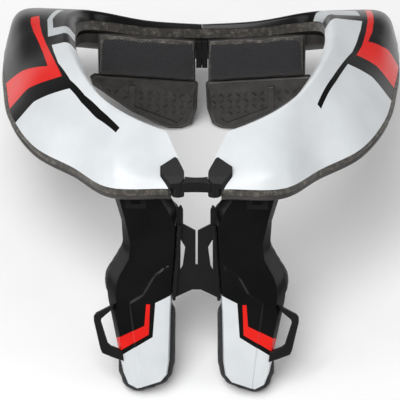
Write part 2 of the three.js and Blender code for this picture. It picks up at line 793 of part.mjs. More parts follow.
// Stands a flat outline of across and height up, from the wearer's side at nearY.
function standing(points, depth, nearY, chamfer = 0) {
  const geometry = slab(points, depth, chamfer);
  geometry.rotateX(90 * degree);
  geometry.translate(0, nearY + depth, 0);
  return geometry;
}

function rectangle(left, right, bottom, top) {
  return [[left, bottom], [right, bottom], [right, top], [left, top]];
}

function chestPadBody() {
  const place = (row) => [
    frontPadInner - chestPadInset + row.across * chestPadWidth,
    -row.down * chestPadHeight,
  ];
  const outline = chestOutline.map(place);
  const near = -chestPadDepth + plateThickness;
  const bodyDepth = chestPadDepth - chestRibHeight - chestRise;
  const body = toSolid(standing(outline, bodyDepth, plateThickness - bodyDepth, chestChamfer));
  const foot = grown(outline, () => -chestLip);
  const face = legLoft([
    legLevel(foot, -chestRoot),
    legLevel(foot, 0),
    legLevel(chestFace.map(place), chestRise),
  ]);
  face.rotateX(90 * degree);
  face.translate(0, plateThickness - bodyDepth, 0);
  let pad = body.add(toSolid(face));
  for (const ribOutline of chestRibs) {
    const rib = standing(ribOutline.map(place), chestRise + chestRibHeight + chestRoot, near, chestRibChamfer);
    pad = pad.add(toSolid(rib));
  }
  return pad;
}

// What the pads and plates stay clear of: the collar's inner wall and all outside it.
function outsideNeckSection(section) {
  const neck = section.lipEnd.x - seatGap;
  const wallHeight = section.foamNeck + section.slot + section.baseNeck;
  return [
    new THREE.Vector2(neck, section.ridge.z + cutReach),
    new THREE.Vector2(neck, section.lipEnd.y - wallHeight - seatGap),
    new THREE.Vector2(section.edge.x, section.edge.y - underCollarRoom),
    new THREE.Vector2(section.edge.x, section.ridge.z + cutReach),
  ];
}

const outsideNeck = toSolid(collarLoft(outsideNeckSection));

function asSolid(part, frame) {
  const geometry = part.isBufferGeometry ? part : toGeometry(part);
  return toSolid(geometry.applyMatrix4(frame));
}

// The pads stop short of the closure between them.
const middleRoom = toSolid(box(2 * (closureWidth + middleGap), 2 * cutReach, 2 * cutReach, 0, cutReach, 0));

function frontPlateBody() {
  const plate = standing(
    rectangle(frontPadInner, frontPadInner + fabricPadWidth, -plateDrop, -plateTop),
    plateThickness,
    0,
  );
  const chestRoom = standing(
    rectangle(-chestPadWidth, 2 * chestPadWidth, -2 * chestPadHeight, seatGap),
    chestPadDepth + seatGap,
    -chestPadDepth + plateThickness,
  );
  return asSolid(plate, frontFrame)
    .subtract(outsideNeck)
    .subtract(middleRoom)
    .subtract(asSolid(chestRoom, chestFrame));
}

function fabricPadBody() {
  const pad = standing(
    rectangle(
      frontPadInner,
      frontPadInner + fabricPadWidth,
      -fabricPadTop - fabricPadHeight,
      -fabricPadTop,
    ),
    fabricPadDepth,
    -fabricPadDepth - seatGap,
    fabricPadRounding,
  );
  return asSolid(pad, frontFrame).subtract(outsideNeck).subtract(middleRoom);
}

// A block of the closure, side 1 right of the split and -1 left of it, seated on the collar's inner wall.
function closureBlock(side) {
  const block = box(closureWidth, closureDepth, closureHeight,
    side * (closureWidth + seatGap) / 2, frontReach, closureHigh - closureHeight / 2);
  return toSolid(block).subtract(outsideNeck).subtract(toSolid(mirrored(toGeometry(outsideNeck))));
}

function tongueBar(clear) {
  return toSolid(box(
    tongueLength + closureWidth / 2 + 2 * clear,
    tongueDepth + 2 * clear,
    tongueHeight + 2 * clear,
    (tongueLength - closureWidth / 2) / 2,
    frontReach - closureDepth / 2 + tongueDepth,
    closureHigh - closureHeight + tongueHeight,
  ));
}

function leftClosure() {
  return closureBlock(-1).add(tongueBar(0));
}

function rightClosure() {
  return closureBlock(1).subtract(tongueBar(runGap));
}

// Assembly

function mesh(name, solid, look, side) {
  const geometry = side < 0 ? mirrored(toGeometry(solid)) : toGeometry(solid);
  geometry.computeVertexNormals();
  const piece = new THREE.Mesh(geometry, new THREE.MeshStandardMaterial(look));
  piece.name = name;
  return piece;
}

// How far the brace tips forward to stand on its leg tips and chest pads, and how high it then sits.
function standingPose(pointSets) {
  const lowest = (points, angle) => Math.min(
    ...points.map((point) => point.y * Math.sin(angle) + point.z * Math.cos(angle)),
  );
  let low = -mostTip * degree;
  let high = 0;
  for (let step = 0; step < 50; step += 1) {
    const middle = (low + high) / 2;
    if (lowest(pointSets[0], middle) < lowest(pointSets[1], middle)) {
      high = middle;
    } else {
      low = middle;
    }
  }
  return { angle: low, floor: lowest(pointSets[0], low) + footFlat };
}

function pointsOf(solid) {
  const place = toGeometry(solid).attributes.position;
  return Array.from({ length: place.count }, (_, i) => new THREE.Vector3().fromBufferAttribute(place, i));
}

const aboveBase = toSolid(collarLoft(aboveBaseSection));
const legShell = toSolid(legShellBody(0).applyMatrix4(legFrame)).subtract(aboveBase);
const legPad = toSolid(legPadBody().applyMatrix4(legFrame)).subtract(aboveBase);
const chestPad = asSolid(chestPadBody(), chestFrame);
const pose = standingPose([pointsOf(legPad), pointsOf(chestPad)]);

const tilt = new THREE.Matrix4().makeRotationX(pose.angle);
const floorBlock = box(2 * cutReach, 3 * cutReach, cutReach, 0, 0, pose.floor - cutReach / 2);
const belowFloor = toSolid(floorBlock.applyMatrix4(tilt.clone().invert()));

// The pieces of the right half, each with its look; the left half has the same ones, mirrored.
const halfPieces = {
  shell: [collarLayer(shellSection), materials.shell],
  foam: [collarLayer(foamSection), materials.foam],
  base: [collarLayer(baseSection), materials.base],
  link_paw: [linkPaw(), materials.link],
  leg_shell: [legShell, materials.legShell],
  leg_pad: [legPad.subtract(belowFloor), materials.fabric],
  leg_lock: [asSolid(lockBody(), legFrame), materials.link],
  strap_loop: [asSolid(loopBody(), legFrame), materials.link],
  front_plate: [frontPlateBody(), materials.base],
  fabric_pad: [fabricPadBody(), materials.fabric],
  chest_pad: [chestPad.subtract(belowFloor), materials.rubber],
};

const halves = new THREE.Group();
for (const [label, side] of [['left', -1], ['right', 1]]) {
  const half = new THREE.Group();
  for (const [name, [solid, look]] of Object.entries(halfPieces)) {
    half.add(mesh(`${name}_${label}`, solid, look, side));
  }
  halves.add(half);
}

const closures = new THREE.Group();
closures.add(
  mesh('closure_left', leftClosure(), materials.link, 1),
  mesh('closure_right', rightClosure(), materials.link, 1),
);

const middle = new THREE.Group();
middle.add(
  mesh('link_bar', linkBar(), materials.link, 1),
  mesh('web', asSolid(webBody(), legFrame), materials.link, 1),
);

// The brace's own frame, tipped to its standing pose with the origin under the middle of its box
const brace = new THREE.Group();
brace.add(halves, closures, middle);
brace.rotation.x = pose.angle;
brace.updateMatrixWorld(true);
const bounds = new THREE.Box3().setFromObject(brace, true);
const centre = bounds.getCenter(new THREE.Vector3());
brace.position.set(-centre.x, -centre.y, -bounds.min.z);

const object = new THREE.Group();
object.name = 'motocross_neck_brace';
object.add(brace);
object.updateMatrixWorld(true);

export default object;
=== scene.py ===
import json
import math

import bmesh
import bpy
import numpy as np
from mathutils import Matrix, Vector


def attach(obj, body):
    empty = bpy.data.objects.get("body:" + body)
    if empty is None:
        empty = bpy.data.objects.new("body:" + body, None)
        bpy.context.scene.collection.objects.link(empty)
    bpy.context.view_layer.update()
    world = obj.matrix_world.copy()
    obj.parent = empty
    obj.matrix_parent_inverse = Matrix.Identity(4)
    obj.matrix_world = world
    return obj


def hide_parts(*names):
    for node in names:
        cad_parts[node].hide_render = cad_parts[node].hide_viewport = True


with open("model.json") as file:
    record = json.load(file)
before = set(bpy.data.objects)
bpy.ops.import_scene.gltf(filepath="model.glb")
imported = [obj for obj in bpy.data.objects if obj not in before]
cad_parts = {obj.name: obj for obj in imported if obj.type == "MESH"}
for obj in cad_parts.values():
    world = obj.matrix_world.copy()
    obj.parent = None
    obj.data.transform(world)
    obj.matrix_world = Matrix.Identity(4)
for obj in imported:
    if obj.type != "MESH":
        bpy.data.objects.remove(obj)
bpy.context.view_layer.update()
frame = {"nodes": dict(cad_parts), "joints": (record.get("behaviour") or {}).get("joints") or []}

# Motocross neck brace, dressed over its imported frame. The scene is in metres, the dictionaries are in
# millimetres and degrees, and what is built here starts upright, with the neck's axis along z.
millimetre = 0.001

# From the brace's own frame into the scene, found from the left hinge
brace = {"hingeOut": 12.2, "hingeBack": 126.0}
hinge = next(joint for joint in frame["joints"] if joint["name"] == "left_hinge")
tilt = -math.atan2(hinge["axis"][1], hinge["axis"][2])
toScene = (
    Matrix.Translation(hinge["pos_m"])
    @ Matrix.Rotation(tilt, 4, "X")
    @ Matrix.Translation(Vector((brace["hingeOut"], brace["hingeBack"], 0)) * millimetre)
)


def lightness(value):
    # from an sRGB share to a linear one
    return value / 12.92 if value <= 0.04045 else ((value + 0.055) / 1.055) ** 2.4


def colour(code):
    parts = [int(code[i:i + 2], 16) / 255 for i in (0, 2, 4)]
    return tuple(lightness(part) for part in parts) + (1.0,)


# Camera at the photograph's angle to the brace
print("camera")
view = {
    "elevation": 22.0, "turn": 1.03, "shift": -0.3, "distance": 1400.0, "aim": (0, -20, -52),
    "lens": 172.1, "sensor": 36, "farthest": 20000,
}


def placeCamera():
    rise = math.radians(view["elevation"])
    back = Vector((0, -math.cos(rise), math.sin(rise)))
    up = Vector((0, math.sin(rise), math.cos(rise)))
    spot = (Vector(view["aim"]) + back * view["distance"]) * millimetre
    turned = Matrix((Vector((1, 0, 0)), up, back)).transposed().to_4x4()
    turned.translation = spot
    around = Matrix.Rotation(math.radians(view["turn"]), 4, "Z")
    aside = Matrix.Translation((-view["shift"] * millimetre, 0, 0))
    data = bpy.data.cameras.new("camera")
    data.lens = view["lens"]
    data.sensor_width = view["sensor"]
    data.clip_end = view["farthest"] * millimetre
    camera = bpy.data.objects.new("camera", data)
    camera.matrix_world = toScene @ around @ aside @ turned
    bpy.context.scene.collection.objects.link(camera)
    bpy.context.scene.camera = camera


placeCamera()

# Materials
print("materials")


def addNode(tree, kind, inputs=None, stops=None, **settings):
    node = tree.nodes.new(kind)
    for name, value in settings.items():
        setattr(node, name, value)
    for name, value in (inputs or {}).items():
        if isinstance(value, bpy.types.NodeSocket):
            tree.links.new(value, node.inputs[name])
        else:
            node.inputs[name].default_value = value
    if stops:
        elements = node.color_ramp.elements
        while len(elements) < len(stops):
            elements.new(0.5)
        for element, (at, code) in zip(elements, stops):
            element.position = at
            element.color = colour(code)
    return node


def newMaterial(name):
    material = bpy.data.materials.new(name)
    material.use_nodes = True
    tree = material.node_tree
    tree.nodes.clear()
    place = addNode(tree, "ShaderNodeTexCoord").outputs["Object"]
    return material, tree, place


def scaleFor(grain):
    # a noise's scale, where grain is the size in millimetres of one light and dark patch
    return 1 / (grain * millimetre)


def finishWith(tree, shaderInputs, height, depth, strength=1.0):
    # depth is the height in millimetres of the relief
    bump = addNode(tree, "ShaderNodeBump", {
        "Height": height, "Distance": depth * millimetre, "Strength": strength,
    })
    shader = addNode(tree, "ShaderNodeBsdfPrincipled", {
        **shaderInputs, "Normal": bump.outputs["Normal"],
    })
    addNode(tree, "ShaderNodeOutputMaterial", {"Surface": shader.outputs["BSDF"]})


def glossShell(name, light, dark, roughness, shine=0.5):
    # Injection-moulded polycarbonate blend with a printed film and clear coat: sharp reflections over
    # a faint waviness, and rubbed patches that dull them a little. The shine is the specular level,
    # lower for the blacks, whose print stays deep under the lamps
    material, tree, place = newMaterial(name)
    wave = addNode(tree, "ShaderNodeTexNoise", {
        "Vector": place, "Scale": scaleFor(9.0),
    }).outputs["Fac"]
    rubbed = addNode(tree, "ShaderNodeTexNoise", {
        "Vector": place, "Scale": scaleFor(26.0), "Detail": 4.0,
    }).outputs["Fac"]
    base = addNode(
        tree, "ShaderNodeValToRGB", {"Fac": rubbed},
        stops=[(0.35, dark), (0.62, light)],
    ).outputs["Color"]
    rough = addNode(tree, "ShaderNodeMapRange", {
        "Value": rubbed, "From Min": 0.3, "From Max": 0.75,
        "To Min": roughness, "To Max": roughness + 0.09,
    }).outputs["Result"]
    finishWith(tree, {
        "Base Color": base, "Roughness": rough, "IOR": 1.5, "Specular IOR Level": shine,
        "Coat Weight": 0.1, "Coat Roughness": 0.1,
    }, wave, depth=0.05, strength=0.35)
    return material


def feltedFoam(name):
    # Cross-linked EVA foam with a brushed face: dull, brown-grey, with pale fibres that catch the
    # light. The real fibres are about 0.1 mm thick, drawn coarser so that they show
    material, tree, place = newMaterial(name)
    fibre = addNode(tree, "ShaderNodeTexNoise", {
        "Vector": place, "Scale": scaleFor(0.8), "Detail": 5.0, "Roughness": 0.7,
    }).outputs["Fac"]
    cloud = addNode(tree, "ShaderNodeTexNoise", {
        "Vector": place, "Scale": scaleFor(3.5), "Detail": 3.0,
    }).outputs["Fac"]
    both = addNode(tree, "ShaderNodeMath", {0: fibre, 1: cloud}, operation="MULTIPLY").outputs["Value"]
    base = addNode(
        tree, "ShaderNodeValToRGB", {"Fac": both},
        stops=[(0.15, "2A2723"), (0.28, "433F39"), (0.44, "857F75")],
    ).outputs["Color"]
    finishWith(tree, {
        "Base Color": base, "Roughness": 0.95, "IOR": 1.45,
        "Sheen Weight": 0.25, "Sheen Roughness": 0.6,
    }, fibre, depth=0.7, strength=0.8)
    return material


def grainedPlastic(name, light, dark, roughness, grain, shine=0.5):
    # Moulded nylon or polypropylene from a spark-eroded tool: even fine grain that breaks up the
    # shine. The real grain is about 0.1 mm wide, drawn coarser so that it shows
    material, tree, place = newMaterial(name)
    fine = addNode(tree, "ShaderNodeTexNoise", {
        "Vector": place, "Scale": scaleFor(grain), "Detail": 3.0,
    }).outputs["Fac"]
    cloud = addNode(tree, "ShaderNodeTexNoise", {
        "Vector": place, "Scale": scaleFor(18.0),
    }).outputs["Fac"]
    base = addNode(
        tree, "ShaderNodeValToRGB", {"Fac": cloud},
        stops=[(0.35, dark), (0.65, light)],
    ).outputs["Color"]
    finishWith(tree, {
        "Base Color": base, "Roughness": roughness, "IOR": 1.53, "Specular IOR Level": shine,
    }, fine, depth=0.12, strength=0.5)
    return material


def wovenPolyester(name, light, dark, thread):
    # Woven polyester over foam: a diagonal grid of dull threads. The real ones are about 0.6 mm apart,
    # drawn coarser so that they show
    material, tree, place = newMaterial(name)
    spacing = 0.314  # between the bands of a wave texture of scale 1
    waves = []
    for turn in (45, -45):
        turned = addNode(tree, "ShaderNodeMapping", {
            "Vector": place, "Rotation": (0, math.radians(turn), 0),
        }).outputs["Vector"]
        waves.append(addNode(tree, "ShaderNodeTexWave", {
            "Vector": turned, "Scale": spacing / (thread * millimetre), "Distortion": 0.6,
            "Detail": 1.0, "Detail Scale": 2.0,
        }).outputs["Fac"])
    weave = addNode(
        tree, "ShaderNodeMath", {0: waves[0], 1: waves[1]}, operation="MULTIPLY",
    ).outputs["Value"]
    lint = addNode(tree, "ShaderNodeTexNoise", {
        "Vector": place, "Scale": scaleFor(3.0), "Detail": 5.0, "Roughness": 0.7,
    }).outputs["Fac"]
    mixed = addNode(tree, "ShaderNodeMath", {0: weave, 1: lint}, operation="MULTIPLY").outputs["Value"]
    base = addNode(
        tree, "ShaderNodeValToRGB", {"Fac": mixed},
        stops=[(0.03, dark), (0.42, light)],
    ).outputs["Color"]
    finishWith(tree, {
        "Base Color": base, "Roughness": 0.9, "IOR": 1.45,
        "Sheen Weight": 0.15, "Sheen Roughness": 0.5,
    }, weave, depth=0.35, strength=0.6)
    return material


def mouldedRubber(name):
    # Moulded thermoplastic rubber: dull and slightly dusty, with a soft sheen on its rounded rims
    material, tree, place = newMaterial(name)
    dust = addNode(tree, "ShaderNodeTexNoise", {
        "Vector": place, "Scale": scaleFor(7.0), "Detail": 4.0, "Roughness": 0.65,
    }).outputs["Fac"]
    fine = addNode(tree, "ShaderNodeTexNoise", {
        "Vector": place, "Scale": scaleFor(0.8), "Detail": 3.0,
    }).outputs["Fac"]
    base = addNode(
        tree, "ShaderNodeValToRGB", {"Fac": dust},
        stops=[(0.35, "2B2927"), (0.7, "3F3C39")],
    ).outputs["Color"]
    rough = addNode(tree, "ShaderNodeMapRange", {
        "Value": dust, "To Min": 0.38, "To Max": 0.58,
    }).outputs["Result"]
    finishWith(
        tree, {"Base Color": base, "Roughness": rough, "IOR": 1.52}, fine, depth=0.12, strength=0.4,
    )
    return material


whiteShell = glossShell("polycarbonate_white_printed", "D7DBDD", "D0D4D7", roughness=0.28)
blackShell = glossShell("polycarbonate_black_printed", "060606", "030303", roughness=0.26, shine=0.22)
redShell = glossShell("polycarbonate_red_printed", "E5190F", "D9140C", roughness=0.26, shine=0.4)
greyShell = glossShell("polycarbonate_grey_printed", "BFC4C6", "B4B9BB", roughness=0.26)
foam = feltedFoam("eva_foam_brushed")
tray = grainedPlastic("polypropylene_tray_moulded", "3A3734", "262422", roughness=0.5, grain=1.1)
nylon = grainedPlastic(
    "glass_filled_nylon_moulded", "0C0C0C", "080808", roughness=0.5, grain=0.7, shine=0.25,
)
fabric = wovenPolyester("polyester_woven_dark", "38383B", "212123", thread=1.5)
rubber = mouldedRubber("thermoplastic_rubber_moulded")

# Collar
print("collar")
collar = {
    "neckHalfWidth": 97, "neckFrontReach": 102, "neckRearReach": 101.5,
    "hemHalfWidth": 150, "hemFrontReach": 150, "hemRearReach": 129,
    "ridgeRise": 68, "hemRise": 32, "wall": 2.2,
    "ridgeRounding": 4, "ridgeSteps": 7, "kneeRounding": 13, "kneeSteps": 9, "longestRounding": 0.45,
    "lipInset": 6, "lipDrop": 8, "foamInset": 0.8, "foamHemBand": 5, "foamNeckHeight": 14,
    "trayHemBand": 3.2, "trayHemIn": 2, "trayNeckHeight": 9, "trayNeckRounding": 2,
    "trayEdgeIn": 0.3, "trayEdgeDown": 0.7, "slotHeight": 3, "sideBulge": 3.5, "bulgeTurn": 0.85,
    "seatGap": 0.3, "foamGap": 0.5, "rings": 132,
}
# One row for each station from the rear link to the front split, as shares of the sizes above
stationColumns = (
    "neckX", "neckY", "ridgeZ", "hemX", "hemY", "hemZ", "kneeOut", "kneeDrop",
    "lipIn", "lipDown", "foamNeck", "slot", "trayNeck", "bulge",
)
stations = [
    (0.08, -1.0, 0.45, 0.05, -1.0, 0, 0.9, 0.85, 1, 0.85, 1, 0.1, 0.4, 0),
    (0.25, -0.975, 0.485, 0.147, -1.0, 0, 0.9, 0.85, 1, 0.85, 1, 0.1, 0.4, 0),
    (0.495, -0.885, 0.59, 0.392, -0.985, 0, 0.84, 0.675, 1, 0.85, 1, 0.1, 0.4, 0),
    (0.70, -0.74, 0.715, 0.566, -0.76, 0.09, 0.7, 0.63, 1, 0.85, 1, 0.1, 0.4, 0),
    (0.845, -0.49, 0.84, 0.757, -0.573, 0.28, 0.7, 0.58, 1, 0.85, 1, 0.1, 0.4, 0.2),
    (0.94, -0.2, 0.925, 0.884, -0.285, 0.56, 0.66, 0.556, 1, 0.85, 1, 0.1, 0.4, 0.9),
    (0.99, 0.05, 0.98, 0.945, 0.067, 0.78, 0.69, 0.52, 1, 0.85, 1, 0.1, 0.4, 1),
    (1.0, 0.295, 1.0, 0.984, 0.3, 0.9, 0.765, 0.33, 1, 0.85, 0.9, 0.3, 0.5, 0.5),
    (0.985, 0.54, 0.993, 1.0, 0.52, 1.0, 0.85, 0.19, 0.7, 1, 0.6, 0.8, 0.9, 0.1),
    (0.918, 0.745, 0.94, 0.984, 0.76, 0.97, 0.85, 0.24, 0.3, 1, 0.55, 1, 1, 0),
    (0.763, 0.868, 0.86, 0.78, 0.937, 0.75, 0.73, 0.33, 0.25, 0.9, 0.55, 1, 1, 0),
    (0.412, 0.941, 0.732, 0.367, 0.995, 0.5, 0.66, 0.36, 0.25, 0.62, 0.55, 1, 0.95, 0),
    (-0.04, 1.0, 0.67, -0.03, 1.0, 0.31, 0.646, 0.5, 0.25, 0.45, 0.55, 1, 0.9, 0),
]


def stationTable():
    rows = np.array(stations, dtype=float)
    column = {name: rows[:, i] for i, name in enumerate(stationColumns)}
    neckReach = np.where(column["neckY"] > 0, collar["neckFrontReach"], collar["neckRearReach"])
    hemReach = np.where(column["hemY"] > 0, collar["hemFrontReach"], collar["hemRearReach"])
    column["neckX"] = column["neckX"] * collar["neckHalfWidth"]
    column["neckY"] = column["neckY"] * neckReach
    column["ridgeZ"] = column["ridgeZ"] * collar["ridgeRise"]
    column["hemX"] = column["hemX"] * collar["hemHalfWidth"]
    column["hemY"] = column["hemY"] * hemReach
    column["hemZ"] = column["hemZ"] * collar["hemRise"]
    return column


table = stationTable()


def along(name, share):
    # a smooth curve through the stations
    values = table[name]
    values = np.concatenate([[2 * values[0] - values[1]], values, [2 * values[-1] - values[-2]]])
    place = share * (len(stations) - 1)
    i = min(int(place), len(stations) - 2)
    w = place - i
    before, start, end, after = values[i:i + 4]
    rise, fall = (end - before) / 2, (after - start) / 2
    return (
        start + rise * w + (3 * (end - start) - 2 * rise - fall) * w ** 2
        + (2 * (start - end) + rise + fall) * w ** 3
    )


def roundedCorner(before, corner, after, reach, steps):
    longest = collar["longestRounding"]
    start = corner + (before - corner) * min(reach / np.linalg.norm(before - corner), longest)
    end = corner + (after - corner) * min(reach / np.linalg.norm(after - corner), longest)
    return [
        (1 - w) ** 2 * start + 2 * w * (1 - w) * corner + w ** 2 * end
        for w in np.linspace(0, 1, steps)
    ]


def between(start, end, shares):
    return [start + (end - start) * w for w in shares]


def sectionAt(share):
    ridge = np.array([along("neckX", share), along("neckY", share), along("ridgeZ", share)])
    hem = np.array([along("hemX", share), along("hemY", share), along("hemZ", share)])
    outward = hem[:2] - ridge[:2]
    width = np.linalg.norm(outward)
    lip = np.array([
        -collar["lipInset"] * along("lipIn", share),
        ridge[2] - collar["lipDrop"] * along("lipDown", share),
    ])
    top = np.array([0.0, ridge[2]])
    knee = np.array([
        width * along("kneeOut", share), ridge[2] - (ridge[2] - hem[2]) * along("kneeDrop", share),
    ])
    edge = np.array([width, hem[2]])
    outer = [lip, *roundedCorner(lip, top, knee, collar["ridgeRounding"], collar["ridgeSteps"])]
    bend = roundedCorner(top, knee, edge, collar["kneeRounding"], collar["kneeSteps"])
    outer += between(outer[-1], bend[0], (0.2, 0.4, 0.6, 0.8))
    outer += bend
    outer += between(bend[-1], edge, (0.25, 0.5, 0.75, 1.0))
    return {
        "ridge": ridge, "outward": outward / width, "outer": outer, "lip": lip, "edge": edge,
        "bulge": along("bulge", share) * collar["sideBulge"],
        "foamNeck": along("foamNeck", share) * collar["foamNeckHeight"],
        "trayNeck": along("trayNeck", share) * collar["trayNeckHeight"],
        "slot": max(along("slot", share) * collar["slotHeight"], collar["seatGap"]),
    }


def offsetPath(path, distance):
    runs = [(b - a) / np.linalg.norm(b - a) for a, b in zip(path, path[1:])]
    normals = [np.array([-run[1], run[0]]) for run in runs]
    moved = []
    for i, point in enumerate(path):
        before, after = normals[max(i - 1, 0)], normals[min(i, len(normals) - 1)]
        moved.append(point + (before + after) / (1 + before @ after) * distance)
    return moved


def insidePath(section, distance, drop):
    # the outer line moved in, with one point at the ridge, and its ends brought back to their heights
    ridgeMiddle = section["outer"][1 + collar["ridgeSteps"] // 2]
    beyond = section["outer"][1 + collar["ridgeSteps"]:]
    inner = offsetPath([section["lip"], ridgeMiddle, *beyond], -distance)
    for end, inside, height in ((0, 1, section["lip"][1] - drop), (-1, -2, section["edge"][1] - drop)):
        run = inner[inside] - inner[end]
        inner[end] = inner[end] + run * (height - inner[end][1]) / run[1]
    return inner


def shellSection(section):
    return [*section["outer"], *reversed(insidePath(section, collar["wall"], 0))]


def foamSection(section):
    neck = section["lip"][0] + collar["foamInset"]
    hem = section["edge"][0] - collar["foamInset"]
    band = collar["foamHemBand"]
    lipZ, edgeZ = section["lip"][1], section["edge"][1]
    gap = collar["foamGap"]
    inner = insidePath(section, collar["wall"] + gap, gap)
    side = [
        np.array([
            hem + section["bulge"] * math.sin(w * math.pi * collar["bulgeTurn"]),
            edgeZ - band + (band - gap) * w,
        ])
        for w in (0.0, 0.25, 0.5, 0.75, 1.0)
    ]
    bottom = lipZ - section["foamNeck"]
    face = [np.array([neck, lipZ - gap + (bottom - lipZ + gap) * w]) for w in (0, 0.5, 1)]
    return [*reversed(inner), *face, *side]


def traySection(section):
    neck = section["lip"][0] + collar["foamInset"]
    hem = section["edge"][0] - collar["foamInset"] + section["bulge"] / 2
    hemTop = section["edge"][1] - collar["foamHemBand"] - collar["seatGap"]
    neckTop = section["lip"][1] - section["foamNeck"] - section["slot"]
    inset, band, rounding = collar["foamInset"], collar["trayHemBand"], collar["trayNeckRounding"]
    return [
        np.array([neck, neckTop]), np.array([hem, hemTop]),
        np.array([hem - collar["trayEdgeIn"] * inset, hemTop - collar["trayEdgeDown"] * band]),
        np.array([hem - collar["trayHemIn"] * inset, hemTop - band]),
        np.array([neck + rounding, neckTop - section["trayNeck"]]),
        np.array([neck, neckTop - section["trayNeck"] + rounding]),
    ]


def newObject(name, mesh):
    piece = bpy.data.objects.new(name, mesh)
    bpy.context.scene.collection.objects.link(piece)
    return piece


def applied(piece):
    # what the modifiers make of it becomes its mesh
    depsgraph = bpy.context.evaluated_depsgraph_get()
    mesh = bpy.data.meshes.new_from_object(piece.evaluated_get(depsgraph))
    piece.modifiers.clear()
    piece.data = mesh


def loftMesh(name, sectionOf, side):
    form = bmesh.new()
    rings = []
    for i in range(collar["rings"] + 1):
        section = sectionAt(i / collar["rings"])
        ring = []
        for across, height in sectionOf(section):
            spot = section["ridge"][:2] + section["outward"] * across
            ring.append(form.verts.new((side * spot[0], spot[1], height)))
        rings.append(ring)
    count = len(rings[0])
    for near, far in zip(rings, rings[1:]):
        for i in range(count):
            j = (i + 1) % count
            form.faces.new((near[i], near[j], far[j], far[i]))
    form.faces.new(rings[0])
    form.faces.new(list(reversed(rings[-1])))
    bmesh.ops.recalc_face_normals(form, faces=form.faces)
    mesh = bpy.data.meshes.new(name)
    form.to_mesh(mesh)
    form.free()
    return mesh


# Room for the rear link and its posts, and for the split at the front
wingEnd = {
    "outline": [
        (-21.8, -60), (21.8, -60), (21.8, -99.5), (10.4, -117.5), (8.9, -121.5), (18.6, -127.5),
        (18.6, -200), (-21.8, -200),
    ],
    "postRoom": 4.8, "postSides": 32, "height": 300,
    "splitGap": 0.15, "splitAcross": 100, "splitAhead": 200,
}


def prism(name, outline, bottom, top):
    form = bmesh.new()
    face = form.faces.new([form.verts.new((x, y, bottom)) for x, y in outline])
    pushed = bmesh.ops.extrude_face_region(form, geom=[face])
    corners = [item for item in pushed["geom"] if isinstance(item, bmesh.types.BMVert)]
    bmesh.ops.translate(form, verts=corners, vec=(0, 0, top - bottom))
    bmesh.ops.recalc_face_normals(form, faces=form.faces)
    mesh = bpy.data.meshes.new(name)
    form.to_mesh(mesh)
    form.free()
    return newObject(name, mesh)


def cutWith(piece, cutter):
    boolean = piece.modifiers.new("cut", "BOOLEAN")
    boolean.operation = "DIFFERENCE"
    boolean.solver = "MANIFOLD"
    boolean.object = cutter
    applied(piece)
    bpy.data.objects.remove(cutter)


def cutWingEnd(piece, side):
    half = wingEnd["height"] / 2
    outline = [(side * x, y) for x, y in wingEnd["outline"]]
    room, out, back = wingEnd["postRoom"], side * brace["hingeOut"], -brace["hingeBack"]
    turns = np.linspace(0, 2 * math.pi, wingEnd["postSides"] + 1)[:-1]
    post = [(out + room * math.cos(turn), back + room * math.sin(turn)) for turn in turns]
    split, ahead = side * wingEnd["splitGap"], wingEnd["splitAhead"]
    across = split - side * wingEnd["splitAcross"]
    otherHalf = [(across, 0), (split, 0), (split, ahead), (across, ahead)]
    for cut in (outline, post, otherHalf):
        cutWith(piece, prism("cutter", cut, -half, half))


# Printed bands in plan, outward and forward of the neck's middle. Later ones lie over earlier ones
bands = {
    "left": [
        (blackShell, [
            (-1, 200), (200, 200), (200, -45), (127, -45), (116, -45), (89.5, -57.5), (80.3, -72),
            (69, -86.5), (55, -101), (52.4, -98.6), (66.2, -83.8), (77.8, -69.8), (89.3, -51.5),
            (100, -25), (104.2, -9), (107, 4), (95, -7), (90, -9), (70, -10), (-1, -10),
        ]),
        (redShell, [
            (127.5, 60), (126.8, 50), (123.4, 36), (118, 19), (113, 1), (108, -20), (127, 0),
            (140, 12), (158, 28), (158, -25), (133, -26), (122, -27), (96, -42), (102, -23),
            (107.3, -5), (112, 12), (116.3, 28), (119, 42), (121.3, 60),
        ]),
        (greyShell, [
            (109, 76), (114, 48), (111, 19), (98, 10), (92, 7), (78, 5), (78, 18), (93, 20), (100, 24),
            (108, 29), (110, 47), (104, 74),
        ]),
    ],
    "right": [
        (blackShell, [
            (-1, 200), (200, 200), (200, -10), (134, -10), (124, -10), (106, -18), (96.4, -45),
            (85, -72), (82.4, -70.9), (93.7, -44), (103, -18.5), (110, 1), (114, 17), (118, 37),
            (120, 52), (100, 45), (92, 39), (70, 25), (-1, 25),
        ]),
        (redShell, [
            (124, 92), (124.6, 72), (124.2, 54), (121.7, 35), (118, 17), (113, 1), (128, 8), (139, 10),
            (158, 12), (158, 58), (142, 42), (134, 33), (123, 26), (127, 41), (129, 57), (129.4, 74),
            (129, 92),
        ]),
        (greyShell, [(80, 80), (99, 77), (117, 84), (119, 63), (100, 55), (80, 69)]),
    ],
}


# how far beside an outline faces are cut, and what counts as touching, as one point and as a sliver
cutting = {
    "near": 0.5, "whole": 300, "onPlane": 1e-4, "touch": 0.01, "side": 0.03, "merge": 0.002,
    "area": 0.005,
}


def inside(outline, x, y):
    odd = False
    for (ax, ay), (bx, by) in zip(outline, outline[1:] + outline[:1]):
        if (ay > y) != (by > y) and x < ax + (bx - ax) * (y - ay) / (by - ay):
            odd = not odd
    return odd


